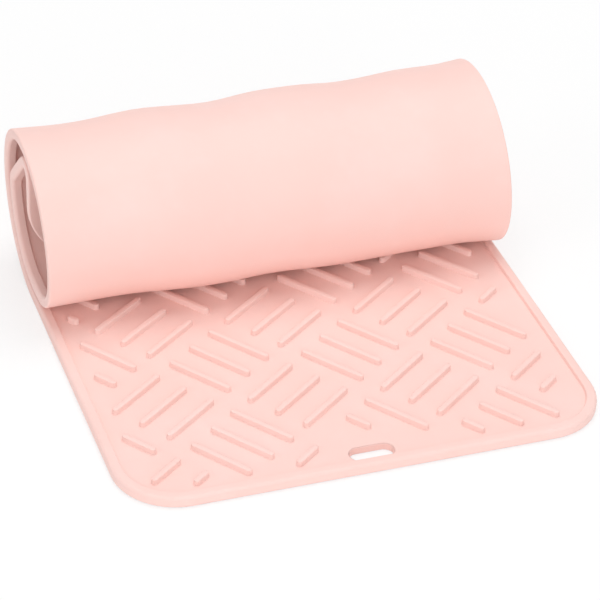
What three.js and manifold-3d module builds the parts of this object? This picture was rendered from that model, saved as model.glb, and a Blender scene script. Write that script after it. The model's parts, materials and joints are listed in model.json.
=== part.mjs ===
// A silicone heat-resistant mat, partly rolled up. The mat is one moulding: a thin web with a raised
// rim all round, basket-weave ribs on its upper face and a hanging slot near the front edge. Its
// front third lies flat and the rest is wound into an oval roll of one and a half turns, smooth face
// outside. Silicone bends everywhere, so the roll is built as narrow strips that hinge on each other
// along the mat's smooth face, and the mat is flat when every hinge has opened by its whole turn.
//
// Frame: X across the mat, Y from the front edge to the roll, Z up. The origin is on the surface
// that the mat lies on, under the middle of the rolled mat.

import * as THREE from 'three';
import { mergeVertices } from 'three/addons/utils/BufferGeometryUtils.js';
import Module from 'manifold-3d';

const wasm = await Module();
wasm.setup();

// The mat as a whole, in millimetres
const mat_width = 165;
const flat_length = 130.2;
const corner_radius = 21;
const web_thickness = 2.6;

// Rim round the edge: its height above the smooth face, and its width
const rim_height = 3.4;
const rim_width = 3.8;

// Ribs: blocks of parallel ribs in a square grid, every other block turned by a quarter
const block_pitch = 31.4;
const ribs_per_block = 3;
const rib_spacing = 10.9;
const rib_length = 24.4;
const rib_width = 2;
const rib_rise = 1.8;
const weave_angle = THREE.MathUtils.degToRad(37.2);
const first_block_across = 25;
const first_block_along = 47.5;
const shortest_rib = 3.5;
const rib_clip_step = 0.25;

// Border that the ribs keep off the mat's edge. The ribbed field sits a little left and in front of
// the middle of the mat.
const rib_edge_margin = 9.2;
const field_shift_across = 1.2;
const field_shift_along = 2.4;

// Hanging slot, and the bare border round its middle line that no rib enters
const slot_length = 15;
const slot_width = 6.4;
const slot_setback = 7.4;
const slot_bare_border = 11.4;

// Roll: the smooth face turns by the same angle at every hinge, and the strip lengths set its shape.
// The shares, here and at the inner end, are lengths measured in millimetres on a roll whose radius is
// the number that they are divided by.
const hinge_count = 28;
const hinge_turn = THREE.MathUtils.degToRad(22.5);
const hinge_gap = 0.3;
const roll_radius = 32.3;
const layer_pitch = 7;
const roll_oval_share = 9.4 / 32.3;
const roll_lean = THREE.MathUtils.degToRad(49.4);
const oval_fade_share = 0.05;
const layer_shift_share = 8.6 / 32.3;

// Inner end of the roll. A long strip lies flat under the second turn, so that its back stands near
// the first turn's. Above that the mat leans over to the front, folds and hangs down.
const flat_strip_hinge = 16;
const flat_strip_share = 17.5 / 32.3;
const lean_first_hinge = 20;
const lean_strip_shares = [5.2 / 32.3, 3.2 / 32.3, 21.7 / 32.3];
const fold_radius_share = 8 / 32.3;
const end_panel_share = 32 / 32.3;

// One overrun serves every cut
const overrun = 2;
const round_segments = 12;

const silicone_pink = 0xf4c6bd;
const silicone_roughness = 0.55;

const one_turn = 2 * Math.PI;

// Length of the strip after each hinge: an arc of one hinge turn, on a radius that shrinks by a
// layer each turn, swells where the roll is flat (it sags into a leaning oval) and moves each layer
// a little towards the front.
function strip_length(hinge) {
  if (hinge === hinge_count) return roll_radius * end_panel_share;
  if (hinge === flat_strip_hinge) return roll_radius * flat_strip_share;
  if (hinge >= lean_first_hinge) {
    const share = lean_strip_shares[hinge - lean_first_hinge] ?? fold_radius_share * hinge_turn;
    return roll_radius * share;
  }
  const heading = hinge_turn * (hinge - 1 / 2);
  const turns = heading / one_turn;
  const oval_share = roll_oval_share * (1 - oval_fade_share * turns);
  const oval = roll_radius * oval_share * Math.cos(2 * heading - roll_lean);
  const shift = (roll_radius * layer_shift_share / Math.PI) * Math.cos(heading);
  return (roll_radius - layer_pitch * turns + oval - shift) * hinge_turn;
}

const hinges = Array.from({ length: hinge_count }, (unused, index) => index + 1);
const strip_lengths = hinges.map(strip_length);
const rolled_length = strip_lengths.reduce((sum, length) => sum + length);
const mat_length = flat_length + rolled_length;
const rib_top = web_thickness + rib_rise;

// Solids

function to_solid(geometry) {
  const bare = geometry.index ? geometry.toNonIndexed() : geometry.clone();
  bare.deleteAttribute('normal');
  bare.deleteAttribute('uv');
  const merged = mergeVertices(bare);
  const mesh = new wasm.Mesh({
    numProp: 3,
    vertProperties: new Float32Array(merged.attributes.position.array),
    triVerts: new Uint32Array(merged.index.array),
  });
  return new wasm.Manifold(mesh);
}

function to_geometry(solid) {
  const mesh = solid.getMesh();
  const geometry = new THREE.BufferGeometry();
  geometry.setAttribute('position', new THREE.BufferAttribute(mesh.vertProperties, mesh.numProp));
  geometry.setIndex(new THREE.BufferAttribute(mesh.triVerts, 1));
  geometry.computeVertexNormals();
  return geometry;
}

function plate(shape, thickness) {
  const settings = { depth: thickness, bevelEnabled: false, curveSegments: round_segments };
  return new THREE.ExtrudeGeometry(shape, settings);
}

// Outline of the mat laid flat, drawn in from its edge. Across is from the middle of the mat and
// along is from its front edge.
function mat_outline(Kind, inset) {
  const half = mat_width / 2 - inset;
  const front = inset;
  const back = mat_length - inset;
  const radius = corner_radius - inset;
  const outline = new Kind();
  outline.moveTo(-half + radius, front);
  outline.lineTo(half - radius, front);
  outline.absarc(half - radius, front + radius, radius, -Math.PI / 2, 0, false);
  outline.lineTo(half, back - radius);
  outline.absarc(half - radius, back - radius, radius, 0, Math.PI / 2, false);
  outline.lineTo(-half + radius, back);
  outline.absarc(-half + radius, back - radius, radius, Math.PI / 2, Math.PI, false);
  outline.lineTo(-half, front + radius);
  outline.absarc(-half + radius, front + radius, radius, Math.PI, one_turn * 3 / 4, false);
  return outline;
}

function web() {
  return to_solid(plate(mat_outline(THREE.Shape, 0), web_thickness));
}

function rim() {
  const outline = mat_outline(THREE.Shape, 0);
  outline.holes.push(mat_outline(THREE.Path, rim_width));
  return to_solid(plate(outline, rim_height));
}

function slot_cutter() {
  const radius = slot_width / 2;
  const reach = slot_length / 2 - radius;
  const outline = new THREE.Shape();
  outline.moveTo(-reach, slot_setback - radius);
  outline.lineTo(reach, slot_setback - radius);
  outline.absarc(reach, slot_setback, radius, -Math.PI / 2, Math.PI / 2, false);
  outline.lineTo(-reach, slot_setback + radius);
  outline.absarc(-reach, slot_setback, radius, Math.PI / 2, one_turn * 3 / 4, false);
  const cutter = plate(outline, rim_height + 2 * overrun);
  cutter.translate(0, 0, -overrun);
  return to_solid(cutter);
}

// How far a place lies inside the outline of the mat
function depth_inside(across, along) {
  const half = mat_width / 2;
  const middle = mat_length / 2;
  const x = Math.abs(across) - (half - corner_radius);
  const y = Math.abs(along - middle) - (middle - corner_radius);
  const past_corner = Math.hypot(Math.max(x, 0), Math.max(y, 0)) + Math.min(Math.max(x, y), 0);
  return corner_radius - past_corner;
}

function rib_may_stand(across, along) {
  const reach = (slot_length - slot_width) / 2;
  const past_reach = Math.max(Math.abs(across) - reach, 0);
  const from_slot = Math.hypot(past_reach, along - slot_setback);
  const depth = depth_inside(across + field_shift_across, along + field_shift_along);
  return depth >= rib_edge_margin && from_slot >= slot_bare_border;
}

// The longest stretch of a rib's middle line that may stand, as its two ends along the line
function standing_stretch(centre, direction) {
  let best = [0, 0];
  let begin = null;
  const steps = Math.round(rib_length / rib_clip_step);
  for (let step = 0; step <= steps; step += 1) {
    const place = rib_length * (step / steps - 1 / 2);
    const stands = rib_may_stand(centre.x + direction.x * place, centre.y + direction.y * place);
    if (stands && begin === null) begin = place;
    if (stands && place - begin > best[1] - best[0]) best = [begin, place];
    if (!stands) begin = null;
  }
  return best;
}

function rib(centre, angle) {
  const direction = new THREE.Vector2(Math.cos(angle), Math.sin(angle));
  const [begin, end] = standing_stretch(centre, direction);
  if (end - begin < shortest_rib) return null;
  const sunk = web_thickness / 2;
  const box = new THREE.BoxGeometry(end - begin, rib_width, rib_rise + sunk);
  box.translate((begin + end) / 2, 0, rib_top - (rib_rise + sunk) / 2);
  box.rotateZ(angle);
  box.translate(centre.x, centre.y, 0);
  return to_solid(box);
}

function ribs() {
  const reach = Math.ceil((mat_width + mat_length) / block_pitch);
  const row = new THREE.Vector2(Math.cos(weave_angle), Math.sin(weave_angle));
  const column = new THREE.Vector2(Math.sin(weave_angle), -Math.cos(weave_angle));
  const first = new THREE.Vector2(first_block_across - mat_width / 2, first_block_along);
  const solids = [];
  for (let a = -reach; a <= reach; a += 1) {
    for (let b = -reach; b <= reach; b += 1) {
      const lies_along_row = (a + b) % 2 === 0;
      const angle = lies_along_row ? weave_angle : weave_angle - Math.PI / 2;
      const side = lies_along_row ? column : row;
      for (let k = 0; k < ribs_per_block; k += 1) {
        const offset = (k - (ribs_per_block - 1) / 2) * rib_spacing;
        const centre = first.clone().addScaledVector(row, a * block_pitch);
        centre.addScaledVector(column, b * block_pitch).addScaledVector(side, offset);
        const solid = rib(centre, angle);
        if (solid) solids.push(solid);
      }
    }
  }
  return solids;
}

// The whole mat laid flat, before it is parted into strips
function flat_mat() {
  let mat = web().add(rim()).subtract(slot_cutter());
  for (const solid of ribs()) mat = mat.add(solid);
  return mat;
}

// A block that holds one strip. Its ends lean by half a hinge turn, so that neighbours lie face to
// face when the mat is rolled, with the hinge gap between them.
function strip_block(from, to, leans_from, leans_to) {
  const tilt = Math.tan(hinge_turn / 2);
  const low = -overrun;
  const high = rib_top + overrun;
  const start_tilt = leans_from ? tilt : 0;
  const end_tilt = leans_to ? tilt : 0;
  const side = new THREE.Shape();
  side.moveTo(from + low * start_tilt, low);
  side.lineTo(to - low * end_tilt, low);
  side.lineTo(to - high * end_tilt, high);
  side.lineTo(from + high * start_tilt, high);
  const block = plate(side, mat_width + 2 * overrun);
  block.rotateX(Math.PI / 2);
  block.rotateZ(Math.PI / 2);
  block.translate(-mat_width / 2 - overrun, 0, 0);
  return to_solid(block);
}

function silicone() {
  return new THREE.MeshStandardMaterial({
    color: silicone_pink,
    roughness: silicone_roughness,
    metalness: 0,
    side: THREE.DoubleSide,
  });
}

function piece(name, mat, from, to, leans_from, leans_to) {
  const solid = mat.intersect(strip_block(from, to, leans_from, leans_to));
  const geometry = to_geometry(solid);
  const mesh = new THREE.Mesh(geometry, silicone());
  mesh.name = name;
  return mesh;
}

function strip_name(hinge) {
  if (hinge === hinge_count) return 'end_panel';
  return 'roll_strip_' + String(hinge).padStart(2, '0');
}

// How far the roll reaches behind the first hinge
function reach_behind_first_hinge() {
  let along = 0;
  let furthest = 0;
  strip_lengths.forEach((length, index) => {
    along += length * Math.cos(hinge_turn * (index + 1));
    furthest = Math.max(furthest, along);
  });
  return furthest;
}

const group = new THREE.Group();
const mat = flat_mat();
const depth = flat_length + reach_behind_first_hinge();

const laid = new THREE.Group();
laid.position.y = -depth / 2;
group.add(laid);
laid.add(piece('front_panel', mat, -overrun, flat_length - hinge_gap / 2, false, true));

// Each strip hangs on the one before it, turned about the line where their smooth faces meet
let carrier = laid;
let start = flat_length;
let step = flat_length;
for (const hinge of hinges) {
  const pivot = new THREE.Group();
  pivot.position.y = step;
  pivot.rotation.x = hinge_turn;
  carrier.add(pivot);
  step = strip_lengths[hinge - 1];
  const last = hinge === hinge_count;
  const end = last ? start + step + overrun : start + step - hinge_gap / 2;
  const strip = piece(strip_name(hinge), mat, start + hinge_gap / 2, end, true, !last);
  strip.position.y = -start;
  pivot.add(strip);
  carrier = pivot;
  start += step;
}

export default group;
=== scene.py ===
import itertools
import json
import math

import bmesh
import bpy
import numpy as np
from bpy.props import (
    FloatProperty,
    FloatVectorProperty,
    IntProperty,
    PointerProperty,
)
from bpy.types import Operator, Panel, PropertyGroup
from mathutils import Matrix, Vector
from mathutils.geometry import tessellate_polygon

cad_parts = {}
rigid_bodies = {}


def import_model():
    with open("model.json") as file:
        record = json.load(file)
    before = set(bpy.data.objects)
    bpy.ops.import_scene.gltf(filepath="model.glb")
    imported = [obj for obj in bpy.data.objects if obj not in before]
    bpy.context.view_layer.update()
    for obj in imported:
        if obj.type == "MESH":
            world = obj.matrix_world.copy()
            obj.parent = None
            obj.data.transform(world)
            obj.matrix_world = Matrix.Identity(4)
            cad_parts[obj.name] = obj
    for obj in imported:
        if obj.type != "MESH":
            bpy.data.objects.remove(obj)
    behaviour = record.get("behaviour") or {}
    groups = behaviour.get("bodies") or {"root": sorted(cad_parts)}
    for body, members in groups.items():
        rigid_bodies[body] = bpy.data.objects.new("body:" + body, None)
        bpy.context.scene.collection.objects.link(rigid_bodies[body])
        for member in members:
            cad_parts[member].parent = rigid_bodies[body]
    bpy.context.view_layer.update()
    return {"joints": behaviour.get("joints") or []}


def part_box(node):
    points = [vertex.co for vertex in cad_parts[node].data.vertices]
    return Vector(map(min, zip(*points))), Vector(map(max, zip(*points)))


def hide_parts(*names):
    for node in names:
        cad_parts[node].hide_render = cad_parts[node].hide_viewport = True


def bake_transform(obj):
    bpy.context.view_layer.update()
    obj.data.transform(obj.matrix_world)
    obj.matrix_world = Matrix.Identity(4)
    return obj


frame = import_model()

bl_info = {
    "name": "Rolled silicone heat mat",
    "version": (1, 0, 0),
    "blender": (4, 5, 0),
    "location": "View3D > Sidebar > Heat mat",
    "description": "A rimmed silicone mat with basket weave ribs, half of it rolled up",
    "category": "Add Mesh",
}

MM = 0.001
PLACE_ATTRIBUTE = "laid_flat"

# How finely the mat is made, and which places count as one
SHEET_COLUMNS = 36
SLOT_PATCH_COLUMNS = 8
CORNER_STEPS = 14
RIM_ROUND_STEPS = 4
SLOT_ROUND_STEPS = 3
SLOT_END_STEPS = 12
RIB_END_STEPS = 4
FLAT_ROW_STEP = 9 * MM
ROLLED_ROW_STEP = 1.2 * MM
RIB_CLIP_STEP = 0.25 * MM
SAME_PLACE = 0.001 * MM
CUT_TOLERANCE = 0.0001 * MM

# The web's grid begins this far in front of the slot, and the last bend ends this far past its hinge
GRID_BEFORE_SLOT = 0.3 * MM
LAST_BEND = 3 * MM

# How far the roll waves in, as a share of the wave's depth, at shares of the mat's width from the
# left: first along the roll's top, then along its foot in front
TOP_WAVE_SHARES = (
    (-0.05, 0.4), (0, 0.48), (0.1, 1), (0.17, 0.85), (0.205, 0.45), (0.275, 0.05), (0.345, 0.45),
    (0.42, 0.85), (0.45, 0.64), (0.525, -0.13), (0.63, -0.13), (0.7, 0.45), (0.77, 0.27),
    (0.845, -0.32), (0.88, -0.27), (0.95, -0.2), (1, -0.75), (1.05, -1),
)
FOOT_WAVE_SHARES = (
    (-0.05, 0.15), (0.02, 0.19), (0.11, 0.38), (0.2, 0.35), (0.24, 0), (0.285, -0.19), (0.33, -0.51),
    (0.37, -0.41), (0.42, -0.32), (0.46, 0), (0.505, 0), (0.55, -0.19), (0.59, -0.38), (0.635, -0.51),
    (0.68, -0.41), (0.725, -0.35), (0.77, -0.19), (0.86, -0.15), (0.9, -0.03), (0.945, -0.35),
    (0.967, -0.55), (1, -0.8), (1.05, -0.9),
)

# Samples along each of these tables, how many of them its kinks are softened over, and the step over
# which a wave's slope is taken
WAVE_SAMPLES = 441
WAVE_BLUR = 8
WAVE_SLOPE_STEP = 0.2 * MM

# A rib's rings from its foot up, then the spines that close its foot and its top. Out: shares of half
# its width and of its rounding, and a spare. Up: shares of its rise, its rounding and its sink.
RIB_RINGS = (
    ((1, 1, 0), (0, 0, -0.4)),
    ((1, 0.25, 0), (0, 1, 0)),
    ((1, 0, 0), (1, -1, 0)),
    ((1, -0.3, 0), (1, -0.3, 0)),
    ((1, -1, 0), (1, 0, 0)),
)
RIB_SPINES = ((0, 0, -1), (1, 0, 0))
RIB_SPINE_SHARES = (1, 0.5, 0, -0.5, -1)

# Attributes that only the making of the ribs needs
RIB_VECTORS = ("outward", "out_shares", "up_shares")
RIB_NUMBERS = ("turn", "reach", "along")

# Chalky patches and smaller smudges: their size, the noise at which they begin and are whole, and how
# much they whiten
PATCH_SIZE = 45 * MM
PATCH_RANGE = (0.42, 0.72)
PATCH_SHARE = 0.6
SMUDGE_SIZE = 7 * MM
SMUDGE_RANGE = (0.5, 0.8)
SMUDGE_SHARE = 0.25

# How the roughness varies, how much rougher chalk is, and the heights of the swells and the grain
GLOSS_SIZE = 20 * MM
GLOSS_SPREAD = 0.16
CHALK_ROUGHNESS = 0.06
SWELL_SIZE = 24 * MM
SWELL_HEIGHT = 0.5 * MM
GRAIN_HEIGHT = 0.02 * MM

# The studio, in metres: half the floor's width, and how far from its middle it begins to turn plain
# white and is plain white. The camera's sensor is in millimetres, as its lens is.
FLOOR_REACH = 3.0
WHITE_FROM = 0.2
WHITE_WHOLE = 0.5
SENSOR_WIDTH = 36

# Each lamp's name, its place, what it aims at, its diameter and which setting is its power
LAMPS = (
    ("lamp_overhead", (0.15, 0.3, 1.35), (0, 0, 0.02), 1.2, "key_power"),
    ("lamp_front", (-0.15, -1.1, 0.75), (0, 0.04, 0.03), 0.9, "fill_power"),
    ("lamp_low", (0.05, -1.2, 0.14), (0, 0.04, 0.03), 0.4, "low_power"),
    ("lamp_left", (-1.0, -0.35, 0.5), (-0.08, 0.04, 0.03), 0.8, "side_power"),
)


def length_property(name, description, default):
    return FloatProperty(name=name, description=description, default=default, unit="LENGTH")


class SheetSizes(PropertyGroup):
    width: length_property("Width", "Across the mat, from side to side", 165 * MM)
    corner_radius: length_property("Corner radius", "Radius of the mat's corners", 21 * MM)
    web: length_property("Web", "Thickness of the mat between its ribs", 2.6 * MM)
    rim_height: length_property("Rim height", "Height of the rim above the smooth face", 3.8 * MM)
    rim_width: length_property("Rim width", "Width of the raised rim at its foot", 3.75 * MM)
    rim_slope: length_property("Rim slope", "Width of the slope on the rim's inner side", 0.3 * MM)
    rim_round: length_property("Rim rounding", "Radius of the rim's outer top edge", 1.3 * MM)
    rim_inner_round: length_property("Inner rounding", "Radius of the rim's inner edge", 0.4 * MM)
    under_round: length_property("Lower rounding", "Radius of the edge under the rim", 0.7 * MM)
    foot_round: length_property("Foot rounding", "Radius at the foot of the rim", 0.15 * MM)
    wave: length_property("Wave", "Depth of the deepest wave in the roll", 1.85 * MM)
    wave_foot: length_property("Wave's foot", "The top's waves fade out down to this height", 12 * MM)
    wave_height: length_property("Wave's height", "The top's waves are whole from here up", 44 * MM)
    foot_slope: FloatProperty(
        name="Foot slope", description="The foot waves fully where the roll is this steep",
        default=0.5, min=0.01, max=1,
    )


class SlotSizes(PropertyGroup):
    length: length_property("Length", "Length of the hanging slot", 15 * MM)
    width: length_property("Width", "Width of the hanging slot", 6.4 * MM)
    setback: length_property("Setback", "From the front edge to the slot's middle", 7.4 * MM)
    bare_border: length_property("Bare border", "No rib comes nearer to the slot", 11.4 * MM)
    edge_round: length_property("Edge rounding", "Radius of the slot's edges", 0.25 * MM)


class RibSizes(PropertyGroup):
    pitch: length_property("Block pitch", "Side of one block of ribs", 31.4 * MM)
    spacing: length_property("Spacing", "From rib to rib in a block", 10.9 * MM)
    length: length_property("Length", "Length of a whole rib", 24.4 * MM)
    width: length_property("Width", "Width of a rib", 2.1 * MM)
    rise: length_property("Rise", "Height of a rib above the web", 1.8 * MM)
    rounding: length_property("Rounding", "Radius at a rib's foot and top", 0.3 * MM)
    sink: length_property("Sink", "How deep a rib's foot goes into the web", 0.4 * MM)
    edge_margin: length_property("Edge margin", "Bare border along the rim", 9.2 * MM)
    shortest: length_property("Shortest", "Shorter ribs are left out", 3.5 * MM)
    per_block: IntProperty(name="Ribs a block", description="Ribs in one block", default=3)
    angle: FloatProperty(
        name="Weave angle", description="Turn of the weave on the mat",
        default=math.radians(37.2), subtype="ANGLE",
    )
    first_block: FloatVectorProperty(
        name="First block", description="Middle of one block, from the left edge and the front",
        default=(25 * MM, 47.5 * MM), size=2, unit="LENGTH",
    )
    shift: FloatVectorProperty(
        name="Shift", description="How far the ribbed field sits to the left and to the front",
        default=(1.2 * MM, 2.4 * MM), size=2, unit="LENGTH",
    )


class SiliconeLook(PropertyGroup):
    colour: FloatVectorProperty(
        name="Colour", description="Colour of the silicone",
        default=(0.97, 0.665, 0.61), size=3, subtype="COLOR", min=0, max=1,
    )
    worn_colour: FloatVectorProperty(
        name="Worn colour", description="Colour where the face is chalky from handling",
        default=(0.97, 0.705, 0.66), size=3, subtype="COLOR", min=0, max=1,
    )
    roughness: FloatProperty(
        name="Roughness", description="Roughness of the matt face", default=0.52, min=0, max=1,
    )
    grain: length_property("Grain", "Size of the moulded grain", 0.5 * MM)


class StudioLook(PropertyGroup):
    floor_colour: FloatVectorProperty(
        name="Floor", description="Colour of the floor", default=(0.99, 0.99, 0.99),
        size=3, subtype="COLOR", min=0, max=1,
    )
    floor_veil: FloatProperty(
        name="Floor veil", description="How much white lies over the floor near the mat",
        default=0.6, min=0, max=1,
    )
    room_level: FloatProperty(
        name="Room light", description="Even light from all round", default=0.46, min=0,
    )
    key_power: FloatProperty(
        name="Main lamp", description="Power of the large lamp overhead", default=9.4,
        subtype="POWER", min=0,
    )
    fill_power: FloatProperty(
        name="Fill lamp", description="Power of the large lamp in front", default=3.5,
        subtype="POWER", min=0,
    )
    side_power: FloatProperty(
        name="Side lamp", description="Power of the lamp on the left", default=1.7,
        subtype="POWER", min=0,
    )
    low_power: FloatProperty(
        name="Low lamp", description="Power of the low lamp in front", default=1.8,
        subtype="POWER", min=0,
    )
    lens: FloatProperty(
        name="Lens", description="Focal length of the camera in millimetres", default=163.4,
    )
    camera_place: FloatVectorProperty(
        name="Camera", description="Where the camera stands", size=3, subtype="TRANSLATION",
        default=(-0.25985, -0.70496, 0.54139),
    )
    camera_turn: FloatVectorProperty(
        name="Camera turn", description="How the camera is turned", size=3, subtype="EULER",
        default=(math.radians(54.8383), math.radians(-2.1087), math.radians(-18.7453)),
    )


class HeatMat(PropertyGroup):
    sheet: PointerProperty(type=SheetSizes)
    slot: PointerProperty(type=SlotSizes)
    ribs: PointerProperty(type=RibSizes)
    silicone: PointerProperty(type=SiliconeLook)
    studio: PointerProperty(type=StudioLook)


class Wire:
    """A node's output. Arithmetic on it adds Math nodes."""

    def __init__(self, nodes, socket):
        self.nodes, self.socket = nodes, socket

    def maths(self, operation, *values):
        node = self.nodes.add("ShaderNodeMath", {"operation": operation}, dict(enumerate(values)))
        return self.nodes.wire(node)

    def __add__(self, other):
        return self.maths("ADD", self, other)

    def __sub__(self, other):
        return self.maths("SUBTRACT", self, other)

    def __mul__(self, other):
        return self.maths("MULTIPLY", self, other)

    def __radd__(self, other):
        return self.maths("ADD", other, self)

    def __rsub__(self, other):
        return self.maths("SUBTRACT", other, self)

    def __rmul__(self, other):
        return self.maths("MULTIPLY", other, self)

    def step_up(self, low, high):
        """0 below low, 1 above high, and smooth between them."""
        settings = {"interpolation_type": "SMOOTHSTEP"}
        values = {"Value": self, "From Min": low, "From Max": high}
        return self.nodes.wire(self.nodes.add("ShaderNodeMapRange", settings, values))


class Nodes:
    """A node tree that is being built."""

    def __init__(self, tree):
        self.tree = tree
        tree.nodes.clear()

    def add(self, kind, settings=None, values=None):
        """A node of a kind, with its settings, and then the values or links of its sockets."""
        node = self.tree.nodes.new(kind)
        for name, value in (settings or {}).items():
            setattr(node, name, value)
        for name, value in (values or {}).items():
            if isinstance(value, Wire):
                self.tree.links.new(value.socket, node.inputs[name])
            else:
                node.inputs[name].default_value = value
        return node

    def wire(self, node, output=0):
        return Wire(self, node.outputs[output])

    def attribute(self, name, kind):
        """A geometry attribute in a Geometry Nodes tree."""
        node = self.add("GeometryNodeInputNamedAttribute", {"data_type": kind}, {"Name": name})
        return self.wire(node)

    def vector_maths(self, operation, values, output="Vector"):
        return self.wire(self.add("ShaderNodeVectorMath", {"operation": operation}, values), output)

    def mixed_colours(self, factor, first, second):
        """Two colours mixed. A Mix node has its sockets for colours at 6 and 7, and comes out at 2."""
        colours = {0: factor, 6: (*first, 1), 7: (*second, 1)}
        return self.wire(self.add("ShaderNodeMix", {"data_type": "RGBA"}, colours), 2)


def new_material(name):
    material = bpy.data.materials.new(name)
    material.use_nodes = True
    return material, Nodes(material.node_tree)


def add_object(name, data):
    """A new object in the scene, at the origin."""
    made = bpy.data.objects.new(name, data)
    bpy.context.scene.collection.objects.link(made)
    return made


class Roll:
    """The curve on which the mat's smooth face lies. It rounds the corners of the hinge line."""

    def __init__(self):
        joints = sorted(frame["joints"], key=lambda joint: joint["name"])
        self.bodies = [joints[0]["parent"]] + [joint["child"] for joint in joints]
        self.hinges = np.array([joint["pos_m"][1:] for joint in joints])
        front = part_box(self.bodies[0])[0].y
        legs = np.diff(self.hinges, axis=0)
        lengths = np.hypot(*legs.T)
        first = self.hinges[0, 0] - front
        last = self.hinges[-1, 1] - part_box(self.bodies[-1])[0].z
        self.at_hinge = first + np.concatenate([[0], np.cumsum(lengths)])
        self.length = self.at_hinge[-1] + last
        ahead, down = [[1.0, 0.0]], [[0.0, -1.0]]
        self.directions = np.vstack([ahead, legs / lengths[:, None], down])
        middles = self.at_hinge[:-1] + lengths / 2
        before = self.at_hinge[0] - lengths[0] / 2
        self.breaks = np.concatenate([[before], middles, [self.at_hinge[-1] + LAST_BEND]])
        turn = math.radians(joints[0]["range_deg"][1])
        self.lean = math.tan(turn / 2)
        self.top_wave, self.foot_wave = smoothed(TOP_WAVE_SHARES), smoothed(FOOT_WAVE_SHARES)

    def curve(self, along):
        """Places on the curve and its directions there, both as (y, z).

        Each corner is a parabola round its hinge, from one break to the next, and its share is
        chosen so that lengths along the mat stay as they are at both ends.
        """
        along = np.asarray(along, float)
        corner = np.clip(np.searchsorted(self.breaks, along, "right") - 1, 0, len(self.hinges) - 1)
        low, high = self.breaks[corner], self.breaks[corner + 1]
        before, after = self.at_hinge[corner] - low, high - self.at_hinge[corner]
        done = np.clip(along, low, high) - low
        root = np.sqrt(before ** 2 + (after - before) * done)
        share = (done / (before + root))[:, None]
        into, out = self.directions[corner], self.directions[corner + 1]
        hinge = self.hinges[corner]
        start, end = hinge - into * before[:, None], hinge + out * after[:, None]
        place = (1 - share) ** 2 * start + 2 * share * (1 - share) * hinge + share ** 2 * end
        heading = (1 - share) * before[:, None] * into + share * after[:, None] * out
        heading /= np.linalg.norm(heading, axis=1, keepdims=True)
        straight = (along - low - done)[:, None]
        return place + heading * straight, heading

    def dip(self, across, along, sheet):
        """How far the waving roll lies inside the curve. The flat mat doesn't wave."""
        curve, heading = self.curve(along)
        top = smooth((curve[:, 1] - sheet.wave_foot) / (sheet.wave_height - sheet.wave_foot))
        foot = (1 - top) * smooth(-heading[:, 1] / sheet.foot_slope)
        share = across / sheet.width + 0.5
        return sheet.wave * (top * np.interp(share, *self.top_wave)
                             + foot * np.interp(share, *self.foot_wave))

    def place(self, places, sheet):
        """Rolled places for places on the flat mat: across, along, above the smooth face."""
        across, along, above = places.T
        curve, heading = self.curve(along)
        height = above + self.dip(across, along, sheet)
        return np.column_stack([across, curve + inward(heading) * height[:, None]])

    def normals(self, places, normals, sheet):
        """Rolled normals for normals on the flat mat."""
        step = WAVE_SLOPE_STEP
        across, along = places[:, 0], places[:, 1]
        _, heading = self.curve(along)
        sideways = self.dip(across + step, along, sheet) - self.dip(across - step, along, sheet)
        lengthways = self.dip(across, along + step, sheet) - self.dip(across, along - step, sheet)
        up = normals[:, 2]
        out = normals[:, 0] - up * sideways / (2 * step)
        ahead = normals[:, 1] - up * lengthways / (2 * step)
        rolled = np.column_stack([out, heading * ahead[:, None] + inward(heading) * up[:, None]])
        return rolled / np.linalg.norm(rolled, axis=1, keepdims=True)


def inward(heading):
    """The way from the smooth face into the roll, beside each direction of the curve."""
    return np.stack([-heading[:, 1], heading[:, 0]], 1)


def smooth(share):
    """0 up to a share of 0, 1 from a share of 1, and smooth between them."""
    share = np.clip(share, 0, 1)
    return share * share * (3 - 2 * share)


def smoothed(table):
    """Shares of the width and of the depth there, from a table of both, without its kinks."""
    shares, depths = zip(*table)
    fine = np.linspace(shares[0], shares[-1], WAVE_SAMPLES)
    reach = 3 * WAVE_BLUR
    spread = np.exp(-0.5 * (np.arange(-reach, reach + 1) / WAVE_BLUR) ** 2)
    padded = np.pad(np.interp(fine, shares, depths), reach, mode="edge")
    return fine, np.convolve(padded, spread / spread.sum(), mode="valid")


def keep_places(mesh, places):
    """Keeps each point's place on the flat mat, which the marks on the silicone follow."""
    laid = mesh.attributes.new(PLACE_ATTRIBUTE, "FLOAT_VECTOR", "POINT")
    laid.data.foreach_set("vector", places.astype(np.float32).ravel())


class Patchwork:
    """Faces on the flat mat. Every corner has its own normal, and no place is made twice."""

    def __init__(self):
        self.known, self.places = {}, []
        self.faces, self.corners, self.normals = [], [], []

    def vertex(self, place):
        """The number of the point at a place, which is new unless one is there."""
        key = tuple(round(value / SAME_PLACE) for value in place)
        if key not in self.known:
            self.known[key] = len(self.places)
            self.places.append(place)
        return self.known[key]

    def face(self, places, normals):
        """Adds a face, turned to the side of its normals. One normal may do for all its corners."""
        if isinstance(normals[0], (int, float)):
            normals = [normals] * len(places)
        face, kept = [], []
        for place, normal in zip(places, normals):
            index = self.vertex(place)
            if index not in face:
                face.append(index)
                kept.append(normal)
        if len(face) < 3:
            return
        corners = [Vector(self.places[index]) for index in face]
        side = sum((a.cross(b) for a, b in zip(corners, corners[1:] + corners[:1])), Vector())
        if side.dot(sum((Vector(normal) for normal in kept), Vector())) < 0:
            face.reverse()
            kept.reverse()
        self.faces.append(face)
        self.corners.extend(face)
        self.normals.extend(kept)

    def to_object(self, name, roll, sheet, material):
        """Rolls the faces up and makes them a piece."""
        places = np.array(self.places)
        mesh = bpy.data.meshes.new(name)
        mesh.from_pydata(roll.place(places, sheet), [], self.faces)
        keep_places(mesh, places)
        mesh.shade_smooth()
        normals = roll.normals(places[self.corners], np.array(self.normals, float), sheet)
        mesh.normals_split_custom_set(normals.tolist())
        mesh.materials.append(material)
        return add_object(name, mesh)


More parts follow.
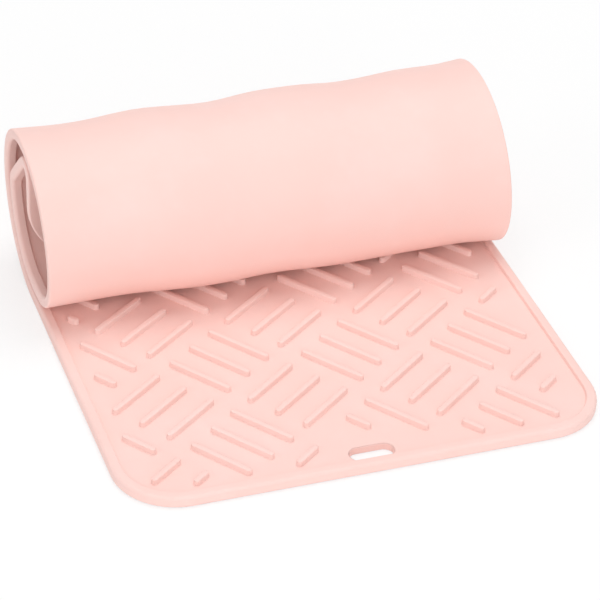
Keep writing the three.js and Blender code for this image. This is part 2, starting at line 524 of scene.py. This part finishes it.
def turned(vector, angle):
    """A flat vector turned to the left."""
    cos, sin = math.cos(angle), math.sin(angle)
    return Vector((vector.x * cos - vector.y * sin, vector.x * sin + vector.y * cos))


def rounded_path(points, radii, steps):
    """Rounds a path's corners. Gives (x, y, normal x, normal y), with normals to its left."""
    points = [Vector(point) for point in points]
    made = []

    def put(place, heading):
        made.append((place.x, place.y, -heading.y, heading.x))

    put(points[0], (points[1] - points[0]).normalized())
    for index, radius in enumerate(radii, start=1):
        corner = points[index]
        into = (corner - points[index - 1]).normalized()
        out = (points[index + 1] - corner).normalized()
        turn = -into.angle_signed(out)
        to_centre = Vector((-into.y, into.x)) * math.copysign(radius, turn)
        centre = corner - into * radius * math.tan(abs(turn) / 2) + to_centre
        for step in range(steps + 1):
            angle = turn * step / steps
            put(centre + turned(-to_centre, angle), turned(into, angle))
    put(points[-1], (points[-1] - points[-2]).normalized())
    return made


class Sheet:
    """The web and rim of the flat mat as rows and columns of places."""

    def __init__(self, sizes, slot, roll):
        self.sizes, self.slot, self.roll = sizes, slot, roll
        self.inset = slot.setback - slot.width / 2 - GRID_BEFORE_SLOT
        self.shares = np.linspace(-1, 1, SHEET_COLUMNS + 1)
        self.rows = self.make_rows()
        rim = [(-self.inset, sizes.web), (-sizes.rim_width, sizes.web),
               (sizes.rim_slope - sizes.rim_width, sizes.rim_height), (0, sizes.rim_height), (0, 0),
               (-self.inset, 0)]
        radii = [sizes.foot_round, sizes.rim_inner_round, sizes.rim_round, sizes.under_round]
        self.profile = rounded_path(rim, radii, RIM_ROUND_STEPS)

    def make_rows(self):
        """Each row: its place along the mat, half its width, and the edge's normal there."""
        half, radius = self.sizes.width / 2, self.sizes.corner_radius
        inner = radius - self.inset
        length = self.roll.length
        corner = []
        for step in range(CORNER_STEPS + 1):
            angle = math.pi / 2 * step / CORNER_STEPS
            across, along = math.sin(angle), math.cos(angle)
            corner.append((radius - inner * along, half - radius + inner * across, across, -along))
        first_bend = self.roll.breaks[0]
        stops = [radius, first_bend - FLAT_ROW_STEP, *self.roll.breaks[:-1], length - radius]
        between = []
        for low, high in zip(stops, stops[1:]):
            step = FLAT_ROW_STEP if high <= first_bend else ROLLED_ROW_STEP
            count = max(1, math.ceil((high - low) / step))
            between += [low + (high - low) * part / count for part in range(1, count + 1)]
        side = half - self.inset
        straight = [(along, side, 1.0, 0.0) for along in between[:-1]]
        back = [(length - along, wide, out, -ahead) for along, wide, out, ahead in reversed(corner)]
        return corner + straight + back

    def row_at(self, along):
        """The row nearest to a place along the mat."""
        return min(range(len(self.rows)), key=lambda row: abs(self.rows[row][0] - along))

    def inner(self, row, column):
        """A place on the web's grid: across and along."""
        along, half, _, _ = self.rows[row]
        return float(half * self.shares[column]), along

    def rim_point(self, row, column, step):
        """A place on the rim's profile, and its normal, beside a place on the edge of the web."""
        across, along = self.inner(row, column)
        _, _, out, ahead = self.rows[row]
        if column == 0:
            out = -out
        if row in (0, len(self.rows) - 1) and 0 < column < SHEET_COLUMNS:
            out = 0.0
        x, z, normal_x, normal_z = self.profile[step]
        reach = x + self.inset
        place = (across + out * reach, along + ahead * reach, z)
        return place, (out * normal_x, ahead * normal_x, normal_z)

    def add_rim(self, patchwork, start, end):
        """The rim beside one step from row and column to row and column on the edge of the web."""
        for step in range(len(self.profile) - 1):
            corners = [self.rim_point(*start, step), self.rim_point(*end, step),
                       self.rim_point(*end, step + 1), self.rim_point(*start, step + 1)]
            patchwork.face([place for place, _ in corners], [normal for _, normal in corners])

    def add_web(self, patchwork, row, column):
        corners = [self.inner(row, column), self.inner(row, column + 1),
                   self.inner(row + 1, column + 1), self.inner(row + 1, column)]
        patchwork.face([(*corner, self.sizes.web) for corner in corners], (0, 0, 1))
        patchwork.face([(*corner, 0.0) for corner in corners], (0, 0, -1))

    def add_cut(self, patchwork, row, facing):
        """Closes a stretch of the sheet where the next one begins."""
        normal = (0, facing, 0)
        for column in range(SHEET_COLUMNS):
            left, right = self.inner(row, column), self.inner(row, column + 1)
            patchwork.face([(*left, 0.0), (*right, 0.0), (*right, self.sizes.web),
                            (*left, self.sizes.web)], normal)
        for column in (0, SHEET_COLUMNS):
            edge = [self.rim_point(row, column, step)[0] for step in range(len(self.profile))]
            patchwork.face(edge, normal)

    def slot_edge(self):
        """The slot's outline, and its normals away from the slot."""
        radius = self.slot.width / 2
        reach = self.slot.length / 2 - radius
        edge = []
        for side, start in ((1, -math.pi / 2), (-1, math.pi / 2)):
            for step in range(SLOT_END_STEPS + 1):
                angle = start + math.pi * step / SLOT_END_STEPS
                out = (math.cos(angle), math.sin(angle))
                place = (side * reach + radius * out[0], self.slot.setback + radius * out[1])
                edge.append((place, out))
        return edge

    def add_slot(self, patchwork, rows, columns):
        """Lines the slot, and fills the web round it, over the first rows and between two columns."""
        edge_round, web = self.slot.edge_round, self.sizes.web
        corners = [(edge_round, web), (0, web), (0, 0), (edge_round, 0)]
        wall = rounded_path(corners, [edge_round] * 2, SLOT_ROUND_STEPS)
        edge = self.slot_edge()

        def lined(index, step):
            (across, along), (out, ahead) = edge[index % len(edge)]
            x, z, normal_x, normal_z = wall[step]
            place = (across + out * x, along + ahead * x, z)
            return place, (out * normal_x, ahead * normal_x, normal_z)

        for index in range(len(edge)):
            for step in range(len(wall) - 1):
                corners = [lined(index, step), lined(index + 1, step),
                           lined(index + 1, step + 1), lined(index, step + 1)]
                patchwork.face([place for place, _ in corners], [normal for _, normal in corners])
        first, last = columns
        loop = [(0, column) for column in range(first, last)]
        loop += [(row, last) for row in range(rows)]
        loop += [(rows, column) for column in range(last, first, -1)]
        loop += [(row, first) for row in range(rows, 0, -1)]
        for step, facing in ((0, 1), (len(wall) - 1, -1)):
            hole = [lined(index, step)[0] for index in range(len(edge))]
            around = [(*self.inner(*spot), hole[0][2]) for spot in loop]
            places = around + hole
            outlines = [[Vector(place) for place in outline] for outline in (around, hole)]
            for triangle in tessellate_polygon(outlines):
                patchwork.face([places[index] for index in triangle], (0, 0, facing))

    def stretch(self, first, last):
        """One stretch of the sheet, from one row to another, closed all round."""
        patchwork = Patchwork()
        final = len(self.rows) - 1
        middle, reach = SHEET_COLUMNS // 2, SLOT_PATCH_COLUMNS // 2
        slot_end = self.row_at(self.slot.setback + self.slot.width)
        for row in range(first, last):
            for column in range(SHEET_COLUMNS):
                if row < slot_end and middle - reach <= column < middle + reach:
                    continue
                self.add_web(patchwork, row, column)
            for column in (0, SHEET_COLUMNS):
                self.add_rim(patchwork, (row, column), (row + 1, column))
        for row, end in ((first, 0), (last, final)):
            if row == end:
                for column in range(SHEET_COLUMNS):
                    self.add_rim(patchwork, (row, column), (row, column + 1))
            else:
                self.add_cut(patchwork, row, -1 if row == first else 1)
        if first == 0:
            self.add_slot(patchwork, slot_end, (middle - reach, middle + reach))
        return patchwork


def stretches(roll):
    """Every visible stretch: its name, the two bodies it joins and its ends along the mat."""
    count = len(roll.hinges)
    for hinge in range(count):
        low = 0 if hinge == 0 else roll.breaks[hinge]
        high = roll.length if hinge == count - 1 else roll.breaks[hinge + 1]
        yield f"{hinge + 1:02d}", roll.bodies[hinge], roll.bodies[hinge + 1], low, high


def hinge_piece(piece, roll, hinge, sizes):
    """Bakes the piece's place into its mesh. The reach to either side of its hinge, short of its
    neighbours, is worked out but not used.
    """
    low, high = roll.breaks[hinge:hinge + 2]
    height = sizes.sheet.web + sizes.ribs.rise + sizes.sheet.wave
    reach = min(roll.at_hinge[hinge] - low, high - roll.at_hinge[hinge]) - height * roll.lean
    start = roll.hinges[hinge] - roll.directions[hinge] * reach
    end = roll.hinges[hinge] + roll.directions[hinge + 1] * reach
    roll.bodies[hinge + 1]
    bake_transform(piece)


def silicone(look):
    """Matt moulded silicone: a fine grain, chalky patches from handling, a soft waviness."""
    material, nodes = new_material("silicone_matt_pink")
    attribute = nodes.add("ShaderNodeAttribute", {"attribute_name": PLACE_ATTRIBUTE})
    place = nodes.wire(attribute, "Vector")

    def noise(size, detail, roughness=0.5):
        values = {"Vector": place, "Scale": 1 / size, "Detail": detail, "Roughness": roughness}
        return nodes.wire(nodes.add("ShaderNodeTexNoise", None, values))

    patches = noise(PATCH_SIZE, detail=4, roughness=0.6).step_up(*PATCH_RANGE)
    smudges = noise(SMUDGE_SIZE, detail=3).step_up(*SMUDGE_RANGE)
    chalky = patches * PATCH_SHARE + smudges * SMUDGE_SHARE
    colour = nodes.mixed_colours(chalky, look.colour, look.worn_colour)
    gloss = noise(GLOSS_SIZE, detail=3) - 0.5
    roughness = look.roughness + gloss * GLOSS_SPREAD + chalky * CHALK_ROUGHNESS
    swells = nodes.add("ShaderNodeBump", None, {
        "Height": noise(SWELL_SIZE, detail=1), "Distance": SWELL_HEIGHT, "Strength": 0.35})
    grain = nodes.add("ShaderNodeBump", None, {
        "Height": noise(look.grain, detail=2), "Distance": GRAIN_HEIGHT, "Strength": 0.5,
        "Normal": nodes.wire(swells)})
    shader = nodes.add("ShaderNodeBsdfPrincipled", None, {
        "Base Color": colour, "Roughness": roughness, "Normal": nodes.wire(grain),
        "IOR": 1.41, "Specular IOR Level": 0.4})
    nodes.add("ShaderNodeOutputMaterial", None, {"Surface": nodes.wire(shader)})
    return material


def silicone_material():
    """The silicone, made when it is first asked for."""
    known = bpy.data.materials.get("silicone_matt_pink")
    return known or silicone(bpy.context.scene.heat_mat.silicone)


class HEATMAT_OT_sheet(Operator):
    """Makes the web and rim of the mat, in stretches that bend across one hinge each"""

    bl_idname = "heatmat.sheet"
    bl_label = "Sheet and rim"

    def execute(self, context):
        sizes = context.scene.heat_mat
        roll = Roll()
        sheet = Sheet(sizes.sheet, sizes.slot, roll)
        material = silicone_material()
        for hinge, (name, first, second, low, high) in enumerate(stretches(roll)):
            patchwork = sheet.stretch(sheet.row_at(low), sheet.row_at(high))
            piece = patchwork.to_object(f"mat_sheet_{name}", roll, sizes.sheet, material)
            hinge_piece(piece, roll, hinge, sizes)
            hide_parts(*([first, second] if hinge == 0 else [second]))
        return {"FINISHED"}


def rib_places(sizes, roll):
    """Where each rib stands on the flat mat: its middle, its turn and half its length."""
    ribs = sizes.ribs
    row_way = np.array([math.cos(ribs.angle), math.sin(ribs.angle)])
    column_way = np.array([math.sin(ribs.angle), -math.cos(ribs.angle)])
    first = np.array([ribs.first_block[0] - sizes.sheet.width / 2, ribs.first_block[1]])
    steps = round(ribs.length / RIB_CLIP_STEP)
    line = np.linspace(-ribs.length / 2, ribs.length / 2, steps + 1)
    reach = math.ceil((sizes.sheet.width + roll.length) / ribs.pitch)
    blocks = range(-reach, reach + 1)
    for row, column in itertools.product(blocks, blocks):
        along_row = (row + column) % 2 == 0
        turn = ribs.angle if along_row else ribs.angle - math.pi / 2
        heading, side = (row_way, column_way) if along_row else (column_way, row_way)
        block = first + row_way * row * ribs.pitch + column_way * column * ribs.pitch
        for rib in range(ribs.per_block):
            middle = block + side * ((rib - (ribs.per_block - 1) / 2) * ribs.spacing)
            run = longest_run(rib_may_stand(middle + line[:, None] * heading, sizes, roll.length))
            if run is None:
                continue
            begin, end = line[run[0]], line[run[1]]
            if end - begin >= ribs.shortest:
                yield middle + heading * (begin + end) / 2, turn, (end - begin) / 2


def rib_may_stand(spots, sizes, length):
    """Whether each spot is far enough from the mat's edge and from the slot."""
    sheet, ribs, slot = sizes.sheet, sizes.ribs, sizes.slot
    across, along = spots[:, 0], spots[:, 1]
    x = np.abs(across + ribs.shift[0]) - (sheet.width / 2 - sheet.corner_radius)
    y = np.abs(along + ribs.shift[1] - length / 2) - (length / 2 - sheet.corner_radius)
    past = np.hypot(np.maximum(x, 0), np.maximum(y, 0)) + np.minimum(np.maximum(x, y), 0)
    depth = sheet.corner_radius - past
    beside = np.maximum(np.abs(across) - (slot.length - slot.width) / 2, 0)
    from_slot = np.hypot(beside, along - slot.setback)
    return (depth >= ribs.edge_margin) & (from_slot >= slot.bare_border)


def longest_run(stands):
    """The first and last index of the longest run of spots that may stand, or None."""
    best, begin = None, None
    for index, stand in enumerate(stands):
        if stand and begin is None:
            begin = index
        if stand and (best is None or index - begin > best[1] - best[0]):
            best = (begin, index)
        if not stand:
            begin = None
    return best


def rib_form():
    """One rib without sizes. Its places follow from shares of the sizes, which the nodes know."""
    around = []
    for side, start in ((1, -90), (-1, 90)):
        around += [(start + 180 * step / RIB_END_STEPS, side) for step in range(RIB_END_STEPS + 1)]
        around += [(start + 180, side * share) for share in RIB_SPINE_SHARES[1:-1]]
    points = []
    for out, up in RIB_RINGS:
        for degrees, place in around:
            angle = math.radians(degrees)
            points.append(((math.cos(angle), math.sin(angle), 0), place, out, up))
    for up in RIB_SPINES:
        points += [((0, 0, 0), place, (0, 0, 0), up) for place in RIB_SPINE_SHARES]
    outward, along, out_shares, up_shares = zip(*points)
    mesh = bpy.data.meshes.new("rib_form")
    mesh.from_pydata([(0, 0, 0)] * len(points), [], rib_faces([place for _, place in around]))
    for name, values in zip(RIB_VECTORS, (outward, out_shares, up_shares)):
        data = mesh.attributes.new(name, "FLOAT_VECTOR", "POINT").data
        data.foreach_set("vector", np.array(values, np.float32).ravel())
    mesh.attributes.new("along", "FLOAT", "POINT").data.foreach_set("value", along)
    mesh.shade_smooth()
    sharp = mesh.attributes.new("sharp_edge", "BOOLEAN", "EDGE")
    for edge in mesh.edges:
        sharp.data[edge.index].value = max(edge.vertices) < len(around)
    return add_object("rib_form", mesh)


def rib_faces(around):
    """Faces between a rib's rings, and from its first and last ring to their spines."""
    count, top = len(around), (len(RIB_RINGS) - 1) * len(around)
    foot_spine = top + count
    top_spine = foot_spine + len(RIB_SPINE_SHARES)
    neighbours = [(index, (index + 1) % count) for index in range(count)]
    faces = []
    for low in range(0, top, count):
        high = low + count
        faces += [(low + index, low + after, high + after, high + index)
                  for index, after in neighbours]
    for ring, spine, flipped in ((0, foot_spine, True), (top, top_spine, False)):
        for index, after in neighbours:
            ends = [spine + RIB_SPINE_SHARES.index(around[corner]) for corner in (after, index)]
            face = list(dict.fromkeys((ring + index, ring + after, *ends)))
            faces.append(face[::-1] if flipped else face)
    return faces


def rib_tree():
    """Puts a rib on every point, with its length and turn, and its sizes from the inputs."""
    tree = bpy.data.node_groups.new("ribs_on_points", "GeometryNodeTree")
    add_socket = tree.interface.new_socket
    add_socket("Geometry", in_out="OUTPUT", socket_type="NodeSocketGeometry")
    add_socket("Points", in_out="INPUT", socket_type="NodeSocketGeometry")
    add_socket("Rib form", in_out="INPUT", socket_type="NodeSocketObject")
    add_socket("Material", in_out="INPUT", socket_type="NodeSocketMaterial")
    for name in ("Width", "Rise", "Rounding", "Sink"):
        add_socket(name, in_out="INPUT", socket_type="NodeSocketFloat")
    nodes = Nodes(tree)
    inputs = nodes.add("NodeGroupInput")

    def given(name):
        return nodes.wire(inputs, name)

    def vector(x, y, z):
        return nodes.wire(nodes.add("ShaderNodeCombineXYZ", None, {"X": x, "Y": y, "Z": z}))

    def blend_of(shares, sizes):
        return nodes.vector_maths("DOT_PRODUCT", {0: shares, 1: sizes}, "Value")

    form = nodes.add("GeometryNodeObjectInfo", None, {"Object": given("Rib form")})
    copies = nodes.add("GeometryNodeInstanceOnPoints", None, {
        "Points": given("Points"), "Instance": nodes.wire(form, "Geometry")})
    real = nodes.add("GeometryNodeRealizeInstances", None, {"Geometry": nodes.wire(copies)})
    out = blend_of(nodes.attribute("out_shares", "FLOAT_VECTOR"),
                   vector(given("Width") * 0.5, given("Rounding"), 0))
    up = blend_of(nodes.attribute("up_shares", "FLOAT_VECTOR"),
                  vector(given("Rise"), given("Rounding"), given("Sink")))
    straight = nodes.attribute("reach", "FLOAT") - given("Width") * 0.5
    along = nodes.attribute("along", "FLOAT") * straight
    outward = nodes.attribute("outward", "FLOAT_VECTOR")
    beside = nodes.vector_maths("SCALE", {0: outward, "Scale": out})
    flat = nodes.vector_maths("ADD", {0: beside, 1: vector(along, 0, up)})
    turned_rib = nodes.add("ShaderNodeVectorRotate", {"rotation_type": "Z_AXIS"}, {
        "Vector": flat, "Angle": nodes.attribute("turn", "FLOAT")})
    moved = nodes.add("GeometryNodeSetPosition", None, {
        "Geometry": nodes.wire(real), "Offset": nodes.wire(turned_rib)})
    whole = nodes.add("GeometryNodeRealizeInstances", None, {"Geometry": nodes.wire(moved)})
    finished = nodes.add("GeometryNodeSetMaterial", None, {
        "Geometry": nodes.wire(whole), "Material": given("Material")})
    nodes.add("NodeGroupOutput", None, {"Geometry": nodes.wire(finished)})
    return tree


def ribs_laid_flat(sizes, roll, material):
    """All the ribs on the flat mat, as one plain mesh."""
    middles, turns, reaches = zip(*rib_places(sizes, roll))
    mesh = bpy.data.meshes.new("rib_points")
    mesh.from_pydata([(*middle, 0) for middle in middles], [], [])
    for name, values in (("turn", turns), ("reach", reaches)):
        mesh.attributes.new(name, "FLOAT", "POINT").data.foreach_set("value", values)
    points = add_object("rib_points", mesh)
    form = rib_form()
    modifier = points.modifiers.new("ribs", "NODES")
    tree = rib_tree()
    modifier.node_group = tree
    ribs = sizes.ribs
    values = {"Rib form": form, "Material": material, "Width": ribs.width, "Rise": ribs.rise,
              "Rounding": ribs.rounding, "Sink": ribs.sink}
    for item in tree.interface.items_tree:
        if item.in_out == "INPUT" and item.name in values:
            modifier[item.identifier] = values[item.name]
    graph = bpy.context.evaluated_depsgraph_get()
    flat = bpy.data.meshes.new_from_object(points.evaluated_get(graph), depsgraph=graph)
    for helper in (points, form):
        bpy.data.objects.remove(helper)
    return flat


def cut_ribs(flat, low, high):
    """The parts of the ribs between two places along the mat, closed where they are cut."""
    cut = bmesh.new()
    cut.from_mesh(flat)
    for along, facing in ((low, -1), (high, 1)):
        everything = cut.verts[:] + cut.edges[:] + cut.faces[:]
        made = bmesh.ops.bisect_plane(cut, geom=everything, plane_co=(0, along, 0),
                                      plane_no=(0, facing, 0), clear_outer=True,
                                      dist=CUT_TOLERANCE)
        edges = [item for item in made["geom_cut"] if isinstance(item, bmesh.types.BMEdge)]
        for face in bmesh.ops.holes_fill(cut, edges=edges, sides=0)["faces"]:
            face.smooth = False
            for edge in face.edges:
                edge.smooth = False
    return cut


class HEATMAT_OT_ribs(Operator):
    """Makes the basket weave ribs, cut and rolled as the sheet is"""

    bl_idname = "heatmat.ribs"
    bl_label = "Ribs"

    def execute(self, context):
        sizes = context.scene.heat_mat
        roll = Roll()
        material = silicone_material()
        flat = ribs_laid_flat(sizes, roll, material)
        for hinge, (name, _, _, low, high) in enumerate(stretches(roll)):
            cut = cut_ribs(flat, low, high)
            if not cut.verts:
                cut.free()
                continue
            mesh = bpy.data.meshes.new(f"mat_ribs_{name}")
            mesh.materials.append(material)
            cut.to_mesh(mesh)
            cut.free()
            places = np.zeros(3 * len(mesh.vertices))
            mesh.vertices.foreach_get("co", places)
            places = places.reshape(-1, 3) + (0, 0, sizes.sheet.web)
            mesh.vertices.foreach_set("co", roll.place(places, sizes.sheet).ravel())
            for spare in (*RIB_VECTORS, *RIB_NUMBERS):
                mesh.attributes.remove(mesh.attributes[spare])
            keep_places(mesh, places)
            mesh.update()
            piece = add_object(mesh.name, mesh)
            hinge_piece(piece, roll, hinge, sizes)
        bpy.data.meshes.remove(flat)
        return {"FINISHED"}


def studio_white(look):
    """A floor that keeps the mat's shadow, and further off looks plain white to the camera."""
    material, nodes = new_material("studio_white")
    shader = nodes.add("ShaderNodeBsdfDiffuse", None, {"Color": (*look.floor_colour, 1)})
    white = nodes.add("ShaderNodeEmission", None, {"Color": (1, 1, 1, 1), "Strength": 1.0})
    place = nodes.wire(nodes.add("ShaderNodeTexCoord"), "Object")
    distance = nodes.vector_maths("LENGTH", {0: place}, "Value")
    veil = look.floor_veil + distance.step_up(WHITE_FROM, WHITE_WHOLE) * (1 - look.floor_veil)
    seen = nodes.wire(nodes.add("ShaderNodeLightPath"), "Is Camera Ray")
    mixed = nodes.add("ShaderNodeMixShader", None, {
        0: veil * seen, 1: nodes.wire(shader), 2: nodes.wire(white)})
    nodes.add("ShaderNodeOutputMaterial", None, {"Surface": nodes.wire(mixed)})
    return material


def add_floor(look):
    mesh = bpy.data.meshes.new("studio_floor")
    corners = [(x * FLOOR_REACH, y * FLOOR_REACH, 0) for x, y in ((-1, -1), (1, -1), (1, 1), (-1, 1))]
    mesh.from_pydata(corners, [], [(0, 1, 2, 3)])
    mesh.materials.append(studio_white(look))
    floor = add_object("studio_floor", mesh)


def add_room(look):
    """Even light from all round, in a room that is white to the camera and in gloss."""
    world = bpy.data.worlds.new("studio_room")
    bpy.context.scene.world = world
    world.use_nodes = True
    nodes = Nodes(world.node_tree)
    path = nodes.add("ShaderNodeLightPath")
    seen = nodes.wire(path, "Is Camera Ray") + nodes.wire(path, "Is Glossy Ray")
    level = look.room_level + seen * (1 - look.room_level)
    background = nodes.add("ShaderNodeBackground", None, {"Color": (1, 1, 1, 1), "Strength": level})
    nodes.add("ShaderNodeOutputWorld", None, {"Surface": nodes.wire(background)})


def add_lamp(name, place, aim, size, power):
    lamp = bpy.data.lights.new(name, "AREA")
    lamp.shape, lamp.size, lamp.energy = "DISK", size, power
    holder = add_object(name, lamp)
    holder.location = place
    holder.rotation_euler = (Vector(aim) - Vector(place)).to_track_quat("-Z", "Y").to_euler()


def add_camera(look):
    camera = bpy.data.cameras.new("camera")
    camera.lens, camera.sensor_width = look.lens, SENSOR_WIDTH
    holder = add_object("camera", camera)
    holder.location, holder.rotation_euler = look.camera_place, look.camera_turn
    bpy.context.scene.camera = holder


class HEATMAT_OT_studio(Operator):
    """Makes the floor, the room, the lamps and the camera"""

    bl_idname = "heatmat.studio"
    bl_label = "Studio"

    def execute(self, context):
        look = context.scene.heat_mat.studio
        add_floor(look)
        add_room(look)
        for name, place, aim, size, power in LAMPS:
            add_lamp(name, place, aim, size, getattr(look, power))
        add_camera(look)
        context.scene.view_settings.view_transform = "Standard"
        return {"FINISHED"}


class HEATMAT_PT_panel(Panel):
    """Lists the parts of the mat"""

    bl_label = "Heat mat"
    bl_idname = "HEATMAT_PT_panel"
    bl_space_type = "VIEW_3D"
    bl_region_type = "UI"
    bl_category = "Heat mat"

    def draw(self, context):
        for operator in OPERATORS:
            self.layout.operator(operator.bl_idname)
        sizes = context.scene.heat_mat
        for group in (sizes.sheet, sizes.slot, sizes.ribs, sizes.silicone, sizes.studio):
            box = self.layout.box()
            for name in group.bl_rna.properties.keys():
                if name not in ("rna_type", "name"):
                    box.prop(group, name)


OPERATORS = (HEATMAT_OT_sheet, HEATMAT_OT_ribs, HEATMAT_OT_studio)
CLASSES = (SheetSizes, SlotSizes, RibSizes, SiliconeLook, StudioLook, HeatMat, *OPERATORS,
           HEATMAT_PT_panel)


def register():
    for cls in CLASSES:
        bpy.utils.register_class(cls)
    bpy.types.Scene.heat_mat = PointerProperty(type=HeatMat)


def unregister():
    del bpy.types.Scene.heat_mat
    for cls in reversed(CLASSES):
        bpy.utils.unregister_class(cls)


def main():
    register()
    bpy.ops.heatmat.sheet()
    bpy.ops.heatmat.ribs()
    bpy.ops.heatmat.studio()


if __name__ == "__main__":
    main()
